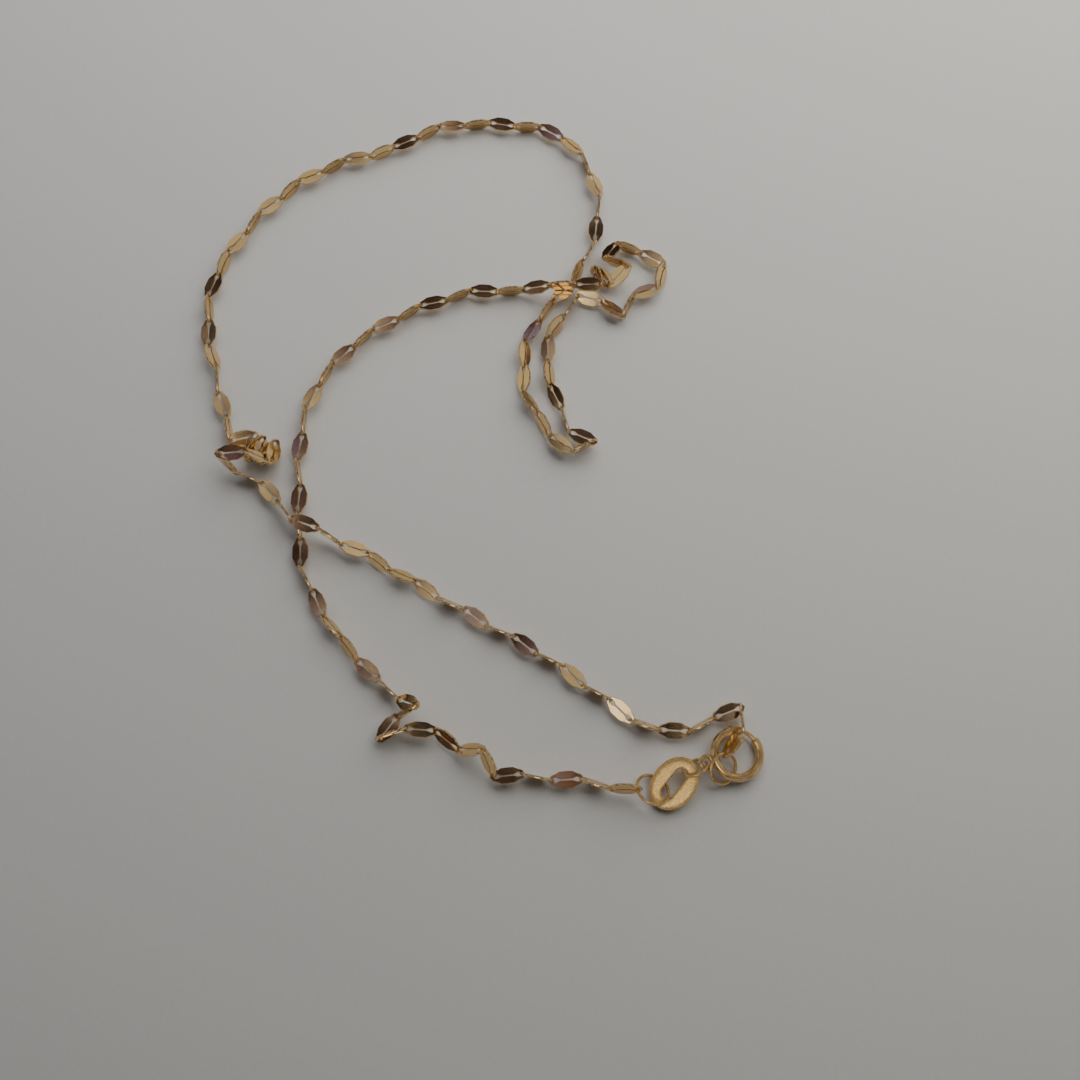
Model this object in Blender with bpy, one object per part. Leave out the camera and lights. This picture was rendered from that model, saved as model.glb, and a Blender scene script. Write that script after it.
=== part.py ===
"""A gold necklace of flat leaf links with a spring-ring clasp and an oval tag, lying closed on a table.

Lengths are in millimetres, and the empty that carries the parts turns them into metres.
"""

import math

import bmesh
import bpy
from mathutils import Matrix, Vector

MM = 0.001

# Link: a flat loop of wire with round ends, whose two sides are hammered out to petals
WIRE_R = 0.17
LINK_REACH = 1.66
BOW_R = 0.51
PETAL_X = 0.60
PETAL_Y = 0.47
PETAL_HALF_WIDTH = 0.40
PETAL_HALF_THICK = 0.15
PETAL_EDGE_SHARE = 0.6
WELD = 0.02
FREE_GAP = 0.10

# Jump rings: each lies tilted, with its side towards the high heading raised off the table
RING_WIRE_R = 0.165
RING_STEPS = 12
SEAM = 0.05
HOOK_GAP = 0.045
TAG_SIDE_R = 1.70
TAG_SIDE_HIGH = 240.0
TAG_SIDE_TILT = 36.0
TAG_SIDE_SLOT = 115.0
TAG_SIDE_HOOK = -54.0
TAG_SIDE_ASIDE = 0.14
CLASP_SIDE_R = 1.56
CLASP_SIDE_HIGH = 148.0
CLASP_SIDE_TILT = 33.0
CLASP_SIDE_AT = 224.0
CLASP_SIDE_INSET = 0.27
CLASP_SIDE_HOOK = -58.0
CLASP_SIDE_ASIDE = -0.13
MIDDLE_LEAN = 33.0

# Tag: an oval plate with a long slot
TAG_CENTRE = Vector((13.45, -25.50, 0.98))
TAG_HEADING = 50.0
TAG_RISE = 9.0
TAG_HALF_LENGTH = 2.90
TAG_HALF_WIDTH = 2.20
TAG_THICK = 0.50
TAG_BEVEL = 0.32
SLOT_HALF_LENGTH = 1.75
SLOT_HALF_WIDTH = 0.62
TAG_COLUMNS = 20

# Where each jump ring's wire passes through the slot, along and across the tag
TAG_SIDE_PASS = Vector((-1.06, -0.13, 0))
MIDDLE_PASS = Vector((1.31, 0, 0))

# Spring ring: a hollow ring with a gate, a bolt that slides inside it, and a soldered eye
CLASP_CENTRE = Vector((19.90, -22.60, 0.86))
CLASP_LEAN = 8.0
CLASP_R = 2.35
BOLT_R = 0.24
BORE_GAP = 0.09
TUBE_WALL = 0.12
BORE_R = BOLT_R + BORE_GAP
TUBE_R = BORE_R + TUBE_WALL
GATE_START = 38.0
GATE_END = 76.0
BOLT_TIP = 32.0
BOLT_TAIL = 116.0
BOLT_TRAVEL = 44.0
BORE_SPARE = 8.0
SOCKET_SPARE = 5.0
KNOB_AT = 102.0
KNOB_STEM_HALF = 0.11
KNOB_HEAD_R = 0.24
KNOB_HEAD_THICK = 0.29
KNOB_CLEAR = 0.07
SLIT_GAP = 0.07
EYE_AT = 195.0
EYE_R = 0.62
EYE_WIRE_R = 0.20
EYE_SINK = 0.27

# Roll of the last link, which a jump ring holds to the spring ring
LAST_ROLL = 320

# How far the joints of a strand stand to one side and the other of its line
WAVER = 0.24

# The chain is in two pieces that hook into each other, loose, before this link
SPLIT_AT = 54

# Share of its facets that a chain keeps once its links are joined: the lost ones line the contacts
KEPT_SHARE = 0.69

# Height of the chain's middle line where it rests on the table
REST = PETAL_Y + PETAL_HALF_WIDTH

# Facets of a wire that meet at less than this angle are shaded as one round surface
ROUND_BELOW = 65.0

# Colour and roughness of the gold
POLISHED = ((0.83, 0.60, 0.28), 0.16)
SATIN = ((0.83, 0.62, 0.32), 0.38)

# Route of the chain from the tag's ring to the spring ring: x, y, lift above rest, roll of the links
# On a strand the links follow a smooth line, and among folds each row is where one link ends
ROUTE = (
    (
        "strand",
        (
            (6.40, -25.70, 0.15, -62),
            (4.20, -25.20, 0.00, -20),
            (1.30, -25.00, 0.00, 0),
            (-2.00, -24.75, 0.00, 0),
            (-4.60, -24.65, 0.00, 10),
            (-6.40, -24.90, 0.05, 10),
        ),
    ),
    (
        "folds",
        (
            (-5.60, -22.40, 1.20, 40),
            (-8.10, -22.20, 0.10, 40),
        ),
    ),
    (
        "strand",
        (
            (-9.90, -20.90, 0.00, 45),
            (-12.40, -19.45, 0.30, 45),
        ),
    ),
    (
        "folds",
        (
            (-13.80, -20.10, 0.60, 20),
            (-16.60, -21.10, 0.00, 0),
            (-14.60, -19.00, 0.30, 0),
            (-12.60, -17.90, 1.80, 30),
            (-14.60, -17.10, 0.00, 0),
        ),
    ),
    (
        "strand",
        (
            (-16.70, -15.30, 0.00, 0),
            (-18.40, -13.30, 0.00, 0),
            (-20.80, -10.80, 0.00, 30),
            (-22.40, -8.50, 0.00, 60),
            (-24.00, -6.00, 0.00, 80),
            (-25.10, -3.40, 0.00, 90),
            (-25.65, -0.50, 0.00, 90),
            (-25.75, 2.50, 0.00, 90),
            (-25.95, 5.40, 0.00, 90),
            (-26.15, 8.60, 0.00, 90),
            (-26.15, 11.40, 0.00, 90),
            (-25.70, 14.40, 0.00, 90),
            (-24.70, 17.30, 0.00, 90),
            (-22.60, 20.35, 0.00, 90),
            (-20.50, 22.65, 0.00, 90),
            (-18.20, 24.30, 0.00, 90),
            (-15.70, 25.80, 0.00, 90),
            (-13.10, 27.10, 0.00, 90),
            (-10.20, 28.10, 0.00, 90),
            (-7.20, 28.95, 0.00, 90),
            (-4.10, 29.05, 0.00, 90),
            (-1.30, 28.85, 0.05, 90),
        ),
    ),
    (
        "folds",
        (
            (1.25, 29.10, 1.15, 90),
            (4.25, 29.10, 1.25, 90),
            (7.20, 29.30, 1.00, 90),
            (6.30, 31.40, 0.10, 110),
            (8.40, 29.20, 0.20, 120),
            (10.10, 31.50, 1.40, 170),
            (7.40, 32.50, 1.00, 180),
            (8.90, 35.00, 0.10, 160),
            (11.40, 33.80, 0.00, 180),
            (14.00, 32.30, 0.10, 190),
            (13.40, 29.50, 0.00, 220),
            (10.80, 28.50, 0.00, 190),
            (9.40, 26.00, 0.00, 190),
            (7.00, 27.70, 0.00, 205),
            (4.20, 28.50, 0.00, 240),
        ),
    ),
    (
        "strand",
        (
            (2.60, 26.10, 0.00, 255),
            (1.25, 23.85, 0.00, 230),
            (0.60, 21.20, 0.00, 200),
            (1.00, 18.60, 0.00, 215),
            (1.70, 16.20, 0.00, 225),
            (2.60, 13.60, 0.00, 210),
            (3.60, 11.60, 0.00, 190),
        ),
    ),
    (
        "folds",
        (
            (6.20, 10.60, 0.30, 180),
            (3.50, 9.60, 0.30, 180),
        ),
    ),
    (
        "strand",
        (
            (1.60, 11.30, 0.00, 180),
            (0.20, 12.90, 0.00, 200),
            (-1.10, 15.40, 0.00, 220),
            (-2.00, 18.00, 0.00, 235),
            (-1.80, 21.10, 0.00, 230),
            (-1.20, 23.85, 0.00, 225),
            (0.35, 26.20, 0.00, 240),
            (1.90, 27.90, 0.00, 260),
            (3.20, 29.40, 0.00, 270),
            (4.20, 31.00, 0.00, 265),
            (5.20, 33.00, 0.00, 240),
            (6.10, 35.30, 0.00, 205),
            (6.80, 38.00, 0.00, 185),
            (6.80, 40.90, 0.00, 180),
            (6.20, 43.60, 0.00, 195),
            (5.10, 46.00, 0.00, 180),
            (3.60, 48.30, 0.00, 180),
            (1.40, 49.80, 0.00, 230),
            (-1.00, 50.40, 0.00, 270),
            (-3.70, 50.70, 0.00, 270),
            (-6.50, 50.75, 0.00, 265),
            (-9.50, 50.65, 0.00, 270),
            (-12.50, 50.10, 0.00, 280),
            (-14.90, 48.90, 0.00, 270),
            (-16.90, 47.50, 0.00, 270),
            (-19.60, 46.60, 0.00, 280),
            (-22.80, 45.80, 0.00, 270),
            (-25.40, 44.50, 0.00, 265),
            (-28.10, 42.90, 0.00, 270),
            (-30.20, 40.90, 0.00, 275),
            (-32.30, 38.80, 0.00, 270),
            (-33.90, 36.40, 0.00, 265),
            (-35.50, 33.80, 0.00, 270),
            (-36.80, 31.00, 0.00, 290),
            (-37.35, 28.30, 0.00, 275),
            (-37.40, 25.60, 0.00, 285),
            (-36.95, 22.65, 0.00, 270),
            (-36.20, 19.90, 0.00, 300),
            (-35.60, 17.40, 0.00, 335),
            (-34.80, 14.60, 0.00, 355),
            (-34.20, 12.60, 0.00, 360),
        ),
    ),
    (
        "folds",
        (
            (-33.60, 10.20, 0.00, 365),
            (-31.20, 11.50, 0.10, 390),
            (-31.60, 8.70, 0.00, 410),
            (-30.10, 11.30, 0.00, 410),
            (-30.20, 8.50, 0.00, 410),
            (-28.70, 10.80, 0.00, 410),
            (-28.90, 8.10, 0.95, 405),
            (-31.40, 9.05, 1.90, 405),
            (-34.30, 8.75, 2.05, 440),
            (-33.20, 7.60, 0.50, 430),
        ),
    ),
    (
        "strand",
        (
            (-30.30, 6.80, 0.08, 370),
            (-28.90, 4.70, 0.00, 360),
            (-27.60, 3.00, 0.60, 360),
            (-26.20, 1.85, 1.35, 360),
            (-24.00, 0.75, 1.27, 360),
            (-21.90, -0.20, 0.35, 360),
            (-19.40, -1.30, 0.00, 355),
            (-17.00, -2.60, 0.00, 335),
            (-14.30, -4.30, 0.00, 315),
            (-11.70, -5.70, 0.00, 310),
            (-8.70, -7.50, 0.00, 300),
            (-6.20, -8.90, 0.00, 275),
            (-3.60, -10.30, 0.00, 290),
            (-1.00, -11.80, 0.00, 270),
            (1.60, -13.40, 0.00, 270),
            (3.90, -15.10, 0.00, 270),
            (6.50, -16.90, 0.00, 270),
            (8.70, -18.60, 0.00, 275),
            (11.20, -20.10, 0.00, 295),
            (13.90, -20.70, 0.00, 285),
            (15.60, -20.00, 0.00, 285),
        ),
    ),
    (
        "folds",
        (
            (16.90, -19.40, 0.00, 285),
            (19.50, -18.30, 0.10, 285),
            (20.45, -20.50, 1.32, 285),
        ),
    ),
)


# Directions and placings
def unit(vector):
    return vector / vector.length


def heading(degrees, length=1.0):
    angle = math.radians(degrees)
    return Vector((length * math.cos(angle), length * math.sin(angle), 0.0))


def turn(degrees, axis):
    return Matrix.Rotation(math.radians(degrees), 4, axis)


def tag_placing():
    return Matrix.Translation(TAG_CENTRE) @ turn(TAG_HEADING, "Z") @ turn(-TAG_RISE, "Y")


def clasp_placing():
    """The placing of the spring ring, whose eye side is raised off the table."""
    return Matrix.Translation(CLASP_CENTRE) @ turn(CLASP_LEAN, "Y")


def eye_centre():
    return heading(EYE_AT, CLASP_R + TUBE_R + EYE_R + EYE_WIRE_R - EYE_SINK)


def tag_side_placing():
    """The placing of the ring whose wire passes through the tag's slot."""
    tilted = turn(TAG_SIDE_HIGH, "Z") @ turn(-TAG_SIDE_TILT, "Y")
    centre = tag_placing() @ TAG_SIDE_PASS - tilted @ heading(TAG_SIDE_SLOT, TAG_SIDE_R)
    return Matrix.Translation(centre) @ tilted


def clasp_side_placing():
    """The placing of the ring that goes round the spring ring's tube."""
    centre = clasp_placing() @ heading(CLASP_SIDE_AT, CLASP_R - CLASP_SIDE_INSET)
    return Matrix.Translation(centre) @ turn(CLASP_SIDE_HIGH, "Z") @ turn(-CLASP_SIDE_TILT, "Y")


def middle_placing():
    """The placing and radius of the ring that joins the tag's slot to the eye."""
    first, second = tag_placing() @ MIDDLE_PASS, clasp_placing() @ eye_centre()
    along = unit(second - first)
    side = unit(along.cross(Vector((0, 0, 1))))
    lean = math.radians(MIDDLE_LEAN)
    risen = side.cross(along) * math.cos(lean) + side * math.sin(lean)
    turned = Matrix((along, risen, along.cross(risen))).transposed()
    return Matrix.Translation((first + second) / 2) @ turned.to_4x4(), (second - first).length / 2


def hook(placing, radius, at, aside):
    """Where a link's bow sits inside a ring, held by the ring's wire a little to one side of it."""
    return placing @ (heading(at, radius - RING_WIRE_R - HOOK_GAP - WIRE_R) + Vector((0, 0, aside)))


def smooth_line(rows):
    """Points close together on a Catmull-Rom line through the rows, each with its roll."""
    line = []
    for i in range(len(rows) - 1):
        before = rows[max(i - 1, 0)]
        start, end = rows[i], rows[i + 1]
        after = rows[min(i + 2, len(rows) - 1)]
        for step in range(60):
            t = step / 60
            blend = []
            for a, b, c, d in zip(before, start, end, after):
                blend.append(
                    0.5 * (2 * b + (c - a) * t + (2 * a - 5 * b + 4 * c - d) * t**2
                           + (3 * b - a - 3 * c + d) * t**3)
                )
            line.append(blend)
    line.append(list(rows[-1]))
    return [(Vector(p[:3]), p[3]) for p in line]


# Chain layout
LINK_SPAN = 2 * LINK_REACH


def bite(index):
    """How far the bows of a link and of the one before it reach into each other."""
    return 2 * WIRE_R + (FREE_GAP if index == SPLIT_AT else -WELD)


def lay_links():
    """Each link's two bow centres and its roll, walked along the route with no change of length."""
    links = []
    start = hook(tag_side_placing(), TAG_SIDE_R, TAG_SIDE_HOOK, TAG_SIDE_ASIDE)
    last = hook(clasp_side_placing(), CLASP_SIDE_R, CLASP_SIDE_HOOK, CLASP_SIDE_ASIDE)
    for kind, rows in ROUTE + (("folds", ((last.x, last.y, last.z - REST, LAST_ROLL),)),):
        places = [(Vector((x, y, REST + lift)), roll) for x, y, lift, roll in rows]
        if kind == "strand":
            ends = [(*start, places[0][1])] + [(*point, roll) for point, roll in places]
            line = smooth_line(ends)
            at = 0
            while True:
                beyond = at
                while beyond < len(line) and (line[beyond][0] - start).length < LINK_SPAN:
                    beyond += 1
                if beyond == len(line):
                    break
                ahead = line[min(beyond + 6, len(line) - 1)][0] - line[beyond - 1][0]
                aside = WAVER * (-1) ** len(links) * unit(Vector((-ahead.y, ahead.x, 0)))
                direction = unit(line[beyond][0] + aside - start)
                end = start + LINK_SPAN * direction
                links.append((start, end, line[beyond][1]))
                start = end - bite(len(links)) * unit(direction + unit(ahead))
                at = beyond
        else:
            for i, (target, roll) in enumerate(places):
                direction = unit(target - start)
                end = start + LINK_SPAN * direction
                links.append((start, end, roll))
                onward = direction
                if i + 1 < len(places):
                    onward = unit(direction + 0.98 * unit(places[i + 1][0] - end))
                start = end - bite(len(links)) * onward
    return links


def frame(start, end, roll):
    """The placing of a link that spans two points, flat side up where roll is 0."""
    along = unit(end - start)
    across = unit(Vector((0, 0, 1)).cross(along))
    flat = Matrix((along, across, along.cross(across))).transposed()
    return Matrix.Translation((start + end) / 2) @ flat.to_4x4() @ turn(roll, "X")


# Meshes
def in_triangles(mesh):
    """The mesh with its loose caps joined, its faces pointing outwards and split into triangles."""
    shape = bmesh.new()
    shape.from_mesh(mesh)
    bmesh.ops.remove_doubles(shape, verts=shape.verts, dist=0.001)
    bmesh.ops.recalc_face_normals(shape, faces=shape.faces)
    bmesh.ops.triangulate(shape, faces=shape.faces, ngon_method="EAR_CLIP")
    shape.to_mesh(mesh)
    shape.free()
    return mesh


def loft(name, rows, closed):
    """A mesh through rows of points, joined end to end or capped."""
    count = len(rows[0])
    points = [tuple(point) for row in rows for point in row]
    faces = []
    for i in range(len(rows) if closed else len(rows) - 1):
        j = (i + 1) % len(rows)
        for k in range(count):
            m = (k + 1) % count
            faces.append((i * count + k, i * count + m, j * count + m, j * count + k))
    if not closed:
        faces.append(tuple(reversed(range(count))))
        faces.append(tuple(range(len(points) - count, len(points))))
    mesh = bpy.data.meshes.new(name)
    mesh.from_pydata(points, [], faces)
    return in_triangles(mesh)


def bent_wire(name, radius, wire_r, first, last, steps):
    """A six-sided wire bent round the Z axis from one angle to another, with flat ends."""
    curve = bpy.data.curves.new(name, "CURVE")
    curve.dimensions = "3D"
    curve.bevel_depth = wire_r
    curve.bevel_resolution = 1
    curve.use_fill_caps = True
    spline = curve.splines.new("POLY")
    spline.points.add(steps)
    for i, point in enumerate(spline.points):
        point.co = (*heading(first + (last - first) * i / steps, radius), 1)
    guide = bpy.data.objects.new(name, curve)
    bpy.context.scene.collection.objects.link(guide)
    graph = bpy.context.evaluated_depsgraph_get()
    mesh = in_triangles(bpy.data.meshes.new_from_object(guide.evaluated_get(graph)))
    bpy.data.objects.remove(guide)
    mesh.shade_smooth()
    mesh.set_sharp_from_angle(angle=math.radians(ROUND_BELOW))
    return mesh


def primitive(name, add, **sizes):
    """The mesh of one of the ready-made shapes."""
    add(**sizes)
    made = bpy.context.object
    mesh = made.data
    mesh.name = name
    mesh.transform(made.matrix_world)
    bpy.data.objects.remove(made)
    return in_triangles(mesh)


def link_mesh():
    """A loft through ten five-sided sections: petals wide and flat, bows round."""
    wire = [heading(180 + 72 * k, WIRE_R) for k in range(5)]
    wide, thick = PETAL_HALF_WIDTH, PETAL_HALF_THICK
    edge = PETAL_EDGE_SHARE * thick
    petal = [(-wide, 0), (-0.8 * wide, -thick), (wide, -edge), (wide, edge), (-0.8 * wide, thick)]
    shoulder_x = LINK_REACH - BOW_R * (1 - math.cos(math.radians(45)))
    shoulder_y = BOW_R * math.sin(math.radians(45))
    # Each station: place along and across the link, the way out, section
    stations = (
        (LINK_REACH, 0.0, 0, wire),
        (shoulder_x, shoulder_y, 45, wire),
        (PETAL_X, PETAL_Y, 90, petal),
        (-PETAL_X, PETAL_Y, 90, petal),
        (-shoulder_x, shoulder_y, 135, wire),
        (-LINK_REACH, 0.0, 180, wire),
        (-shoulder_x, -shoulder_y, 225, wire),
        (-PETAL_X, -PETAL_Y, 270, petal),
        (PETAL_X, -PETAL_Y, 270, petal),
        (shoulder_x, -shoulder_y, 315, wire),
    )
    rows = [
        [Vector((x, y, 0)) + heading(outwards, point[0]) + Vector((0, 0, point[1])) for point in section]
        for x, y, outwards, section in stations
    ]
    return loft("link", rows, True)


def tag_mesh():
    """An oval plate with a bevelled rim and a slot with round ends, as sections round the slot."""
    rows = []
    for k in range(TAG_COLUMNS):
        angle = 2 * math.pi * (k + 0.5) / TAG_COLUMNS
        cosine, sine = math.cos(angle), math.sin(angle)
        rim = Vector((TAG_HALF_LENGTH * cosine, TAG_HALF_WIDTH * sine, 0))
        shift = math.copysign(SLOT_HALF_LENGTH - SLOT_HALF_WIDTH, cosine)
        slot = Vector((shift + SLOT_HALF_WIDTH * cosine, SLOT_HALF_WIDTH * sine, 0))
        shoulder = rim - TAG_BEVEL * unit(rim - slot)
        up = Vector((0, 0, TAG_THICK / 2))
        rows.append([rim, shoulder + up, slot + up, slot - up, shoulder - up])
    return loft("tag", rows, True)


# Objects
def metal(name, colour, roughness):
    """A gold material with one colour and finish."""
    made = bpy.data.materials.new(name)
    made.use_nodes = True
    shader = made.node_tree.nodes["Principled BSDF"]
    shader.inputs["Base Color"].default_value = (*colour, 1)
    shader.inputs["Metallic"].default_value = 1.0
    shader.inputs["Roughness"].default_value = roughness
    return made


def add(name, mesh, placing, carrier, collection, helper=False):
    """An object for the mesh, placed on the carrier."""
    made = bpy.data.objects.new(name, mesh)
    collection.objects.link(made)
    made.parent = carrier
    made.matrix_basis = placing
    if helper:
        made.hide_render = True
        made.display_type = "WIRE"
    return made


def combine(base, helpers, operation):
    """Joins the helpers in a collection to the base, or cuts them from it."""
    modifier = base.modifiers.new(operation.lower(), "BOOLEAN")
    modifier.operation = operation
    modifier.operand_type = "COLLECTION"
    modifier.collection = helpers
    modifier.solver = "EXACT"


def helpers_for(name):
    made = bpy.data.collections.new(name)
    bpy.context.scene.collection.children.link(made)
    made.hide_render = True
    return made


def make_chain(name, links, first, last, carrier, parts):
    """Links hooked through each other, each rolled a quarter turn from the one before, as one body."""
    mesh = link_mesh()
    helpers = helpers_for(name + "_links")
    for i in range(first, last):
        start, end, roll = links[i]
        placing = frame(start, end, roll + 90 * (i % 2))
        if i == first:
            chain = add(name, mesh, placing, carrier, parts)
        else:
            add(f"{name}_link_{i}", mesh, placing, carrier, helpers, True)
    combine(chain, helpers, "UNION")
    triangles = chain.modifiers.new("triangles", "TRIANGULATE")
    triangles.ngon_method = "CLIP"
    thinned = chain.modifiers.new("thinned", "DECIMATE")
    thinned.ratio = KEPT_SHARE
    thinned.use_collapse_triangulate = True
    return chain


def make_jump_ring(name, placing, radius, seam_at, carrier, parts):
    """A ring of round wire whose two ends almost touch at the seam."""
    half = math.degrees(SEAM / radius) / 2
    mesh = bent_wire(name, radius, RING_WIRE_R, seam_at + half, seam_at + 360 - half, RING_STEPS)
    return add(name, mesh, placing, carrier, parts)


def make_spring_ring(name, carrier, parts):
    """The hollow ring with its eye, its bore open at the gate, and the slit for the knob."""
    placing = clasp_placing()
    tube = bent_wire(name, CLASP_R, TUBE_R, GATE_END, GATE_START + 360, 20)
    ring = add(name, tube, placing, carrier, parts)
    joined = helpers_for(name + "_joined")
    eye = primitive(
        "eye", bpy.ops.mesh.primitive_torus_add, major_segments=10, minor_segments=6,
        major_radius=EYE_R, minor_radius=EYE_WIRE_R,
    )
    add("eye", eye, placing @ Matrix.Translation(eye_centre()), carrier, joined, True)
    combine(ring, joined, "UNION")
    cut = helpers_for(name + "_cut")
    bore_end = BOLT_TAIL + BOLT_TRAVEL + BORE_SPARE
    add("bore", bent_wire("bore", CLASP_R, BORE_R, GATE_END - 4, bore_end, 6), placing, carrier, cut, True)
    socket = bent_wire("socket", CLASP_R, BORE_R, BOLT_TIP - SOCKET_SPARE, GATE_START + 4, 1)
    add("socket", socket, placing, carrier, cut, True)
    half = KNOB_STEM_HALF + SLIT_GAP
    side = math.degrees(half / CLASP_R)
    inner, outer = CLASP_R + BORE_R / 2, CLASP_R + 2 * TUBE_R
    rows = []
    for k in range(5):
        at = KNOB_AT - side + (BOLT_TRAVEL + 2 * side) * k / 4
        rows.append([heading(at, x) + Vector((0, 0, z))
                     for x, z in ((inner, -half), (outer, -half), (outer, half), (inner, half))])
    add("slit", loft("slit", rows, False), placing, carrier, cut, True)
    combine(ring, cut, "DIFFERENCE")
    return ring


def make_bolt(name, carrier, parts):
    """The curved bolt that closes the gate, with the thumb knob that draws it back."""
    placing = clasp_placing()
    bolt = add(name, bent_wire(name, CLASP_R, BOLT_R, BOLT_TIP, BOLT_TAIL, 8), placing, carrier, parts)
    knob = helpers_for(name + "_knob")
    base = TUBE_R + KNOB_CLEAR
    outwards = placing @ turn(KNOB_AT, "Z") @ turn(90, "Y")
    stem = primitive(
        "stem", bpy.ops.mesh.primitive_cube_add, size=1,
        scale=(2 * KNOB_STEM_HALF, 2 * KNOB_STEM_HALF, base + KNOB_HEAD_THICK / 2),
    )
    lift = Matrix.Translation((0, 0, CLASP_R + (base + KNOB_HEAD_THICK / 2) / 2))
    add("stem", stem, outwards @ lift, carrier, knob, True)
    cap = primitive(
        "cap", bpy.ops.mesh.primitive_cone_add, vertices=8, radius1=KNOB_HEAD_R,
        radius2=0.8 * KNOB_HEAD_R, depth=KNOB_HEAD_THICK,
    )
    lift = Matrix.Translation((0, 0, CLASP_R + base + KNOB_HEAD_THICK / 2))
    add("cap", cap, outwards @ lift, carrier, knob, True)
    combine(bolt, knob, "UNION")
    return bolt


def seat_on_table(carrier, parts):
    """Moves the carrier so that the lowest point is at height 0 and the middle is over the origin."""
    graph = bpy.context.evaluated_depsgraph_get()
    corners = []
    for thing in parts.objects:
        shape = thing.evaluated_get(graph)
        corners += [shape.matrix_world @ vertex.co for vertex in shape.to_mesh().vertices]
        shape.to_mesh_clear()
    low = [min(corner[k] for corner in corners) for k in range(3)]
    high = [max(corner[k] for corner in corners) for k in range(3)]
    carrier.location = (-(low[0] + high[0]) / 2, -(low[1] + high[1]) / 2, -low[2])


def main():
    for thing in list(bpy.data.objects):
        bpy.data.objects.remove(thing)
    parts = bpy.data.collections.new("necklace")
    bpy.context.scene.collection.children.link(parts)
    carrier = bpy.data.objects.new("necklace_carrier", None)
    bpy.context.scene.collection.objects.link(carrier)
    carrier.scale = (MM, MM, MM)

    links = lay_links()
    make_chain("chain_inner", links, 0, SPLIT_AT, carrier, parts)
    make_chain("chain_outer", links, SPLIT_AT, len(links), carrier, parts)
    add("tag", tag_mesh(), tag_placing(), carrier, parts)
    make_spring_ring("spring_ring", carrier, parts)
    make_bolt("spring_ring_bolt", carrier, parts)
    make_jump_ring("jump_ring_tag_side", tag_side_placing(), TAG_SIDE_R, 100, carrier, parts)
    at_clasp = clasp_side_placing()
    slack = links[-1][1] - hook(at_clasp, CLASP_SIDE_R, CLASP_SIDE_HOOK, CLASP_SIDE_ASIDE)
    at_clasp = Matrix.Translation(slack) @ at_clasp
    make_jump_ring("jump_ring_clasp_side", at_clasp, CLASP_SIDE_R, 200, carrier, parts)
    make_jump_ring("jump_ring_middle", *middle_placing(), 250, carrier, parts)

    for thing in parts.objects:
        finish = SATIN if thing.name == "tag" else POLISHED
        thing.data.materials.append(metal(thing.name + "_gold", *finish))
    seat_on_table(carrier, parts)


if __name__ == "__main__":
    main()
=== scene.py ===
"""A gold necklace laid out closed on pale paper: leaf links, a spring-ring clasp and an oval tag."""

import math

import bmesh
import bpy
from mathutils import Matrix, Vector


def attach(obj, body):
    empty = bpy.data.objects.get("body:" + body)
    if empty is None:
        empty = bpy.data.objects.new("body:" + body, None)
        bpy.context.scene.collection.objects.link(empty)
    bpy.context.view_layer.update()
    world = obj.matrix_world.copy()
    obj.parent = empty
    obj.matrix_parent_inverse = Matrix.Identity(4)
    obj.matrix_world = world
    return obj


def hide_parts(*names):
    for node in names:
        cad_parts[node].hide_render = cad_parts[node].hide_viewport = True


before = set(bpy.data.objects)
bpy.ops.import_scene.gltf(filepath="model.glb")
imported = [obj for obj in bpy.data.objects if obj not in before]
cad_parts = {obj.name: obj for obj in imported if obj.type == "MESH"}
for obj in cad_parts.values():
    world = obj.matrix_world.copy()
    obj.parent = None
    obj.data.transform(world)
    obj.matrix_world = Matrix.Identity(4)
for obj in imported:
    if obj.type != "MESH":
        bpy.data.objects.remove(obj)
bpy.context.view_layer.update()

# Sizes are in millimetres, and this turns them into metres
MM = 0.001

# Where the middle of the layout's picture lies from the middle of its footprint
LAID_AT = Vector((7.701, -11.783, 0.005))

# Link: a flat loop of wire with round ends, whose two sides are hammered out to petals
WIRE_R = 0.17
LINK_REACH = 1.66
PETAL_Y = 0.47
PETAL_HALF_WIDTH = 0.40
WELD = 0.02
FREE_GAP = 0.10

# Jump rings: each lies tilted, with its side towards the high heading raised off the table
RING_WIRE_R = 0.165
SEAM = 0.05
HOOK_GAP = 0.045
TAG_SIDE_R = 1.70
TAG_SIDE_HIGH = 240.0
TAG_SIDE_TILT = 36.0
TAG_SIDE_SLOT = 115.0
TAG_SIDE_HOOK = -54.0
TAG_SIDE_ASIDE = 0.14
CLASP_SIDE_R = 1.56
CLASP_SIDE_HIGH = 148.0
CLASP_SIDE_TILT = 33.0
CLASP_SIDE_AT = 224.0
CLASP_SIDE_INSET = 0.27
CLASP_SIDE_HOOK = -58.0
CLASP_SIDE_ASIDE = -0.13
MIDDLE_LEAN = 33.0

# Where the cut of each jump ring lies round it, in degrees
TAG_SIDE_CUT = 100
CLASP_SIDE_CUT = 200
MIDDLE_CUT = 250

# Tag: an oval plate with a long slot
TAG_CENTRE = Vector((13.45, -25.50, 0.98))
TAG_HEADING = 50.0
TAG_RISE = 9.0
TAG_HALF_LENGTH = 2.90
TAG_HALF_WIDTH = 2.20
TAG_THICK = 0.50
SLOT_HALF_LENGTH = 1.75
SLOT_HALF_WIDTH = 0.62

# Where each jump ring's wire passes through the slot, along and across the tag
TAG_SIDE_PASS = Vector((-1.06, -0.13, 0))
MIDDLE_PASS = Vector((1.31, 0, 0))

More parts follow.
